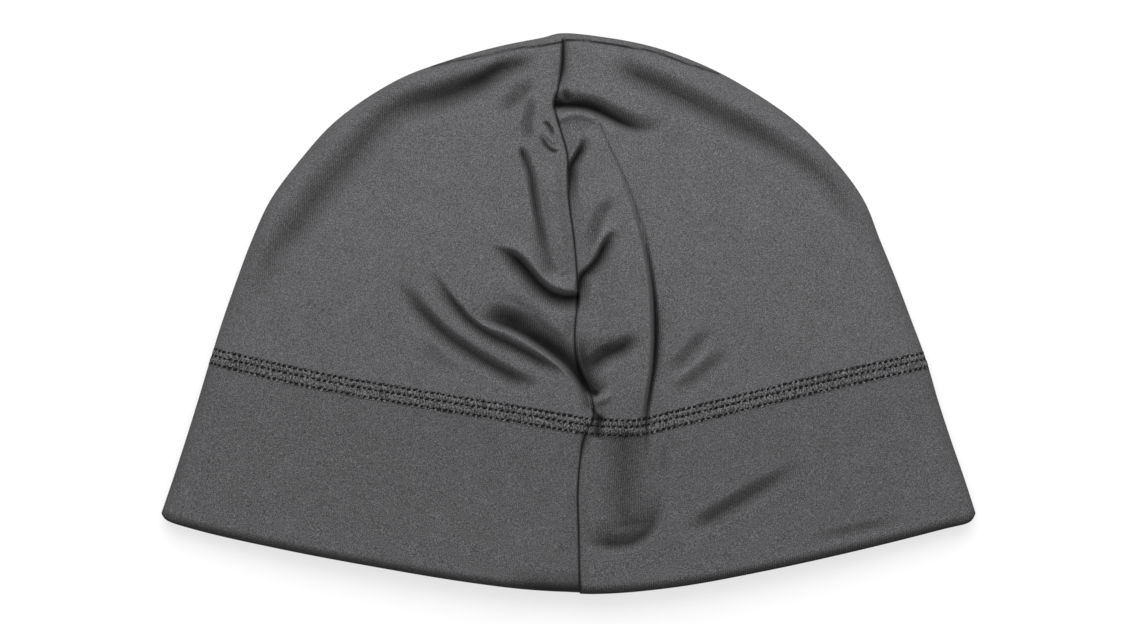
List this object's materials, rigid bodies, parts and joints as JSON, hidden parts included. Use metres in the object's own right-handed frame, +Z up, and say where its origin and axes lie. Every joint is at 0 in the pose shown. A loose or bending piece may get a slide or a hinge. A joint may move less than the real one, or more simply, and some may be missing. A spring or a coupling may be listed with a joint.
{
  "type": "skull cap",
  "caption": "Close-fitting stretch-jersey cap lying flat with its back up: two crown halves, a coverstitched joining seam and a folded headband round an open hollow.",
  "frame": {"origin": "middle of the cap's bounding box, on the surface it lies on", "axes": "+X across the hem, to the right with the back of the cap up; +Y from the hem to the top of the crown; +Z up off the surface"},
  "size_m": [0.2812, 0.1935, 0.0233],
  "materials": {
    "crown_jersey": "heathered charcoal stretch jersey, matt with a soft sheen",
    "band_jersey": "the same jersey folded double, fine upright wales",
    "seam_thread": "dark polyester thread in three coverstitch rows on jersey"
  },
  "bodies": {
    "root": {"crown_left_panel": "crown_jersey", "crown_right_panel": "crown_jersey", "joining_seam": "seam_thread", "headband": "band_jersey"}
  },
  "joints": []
}
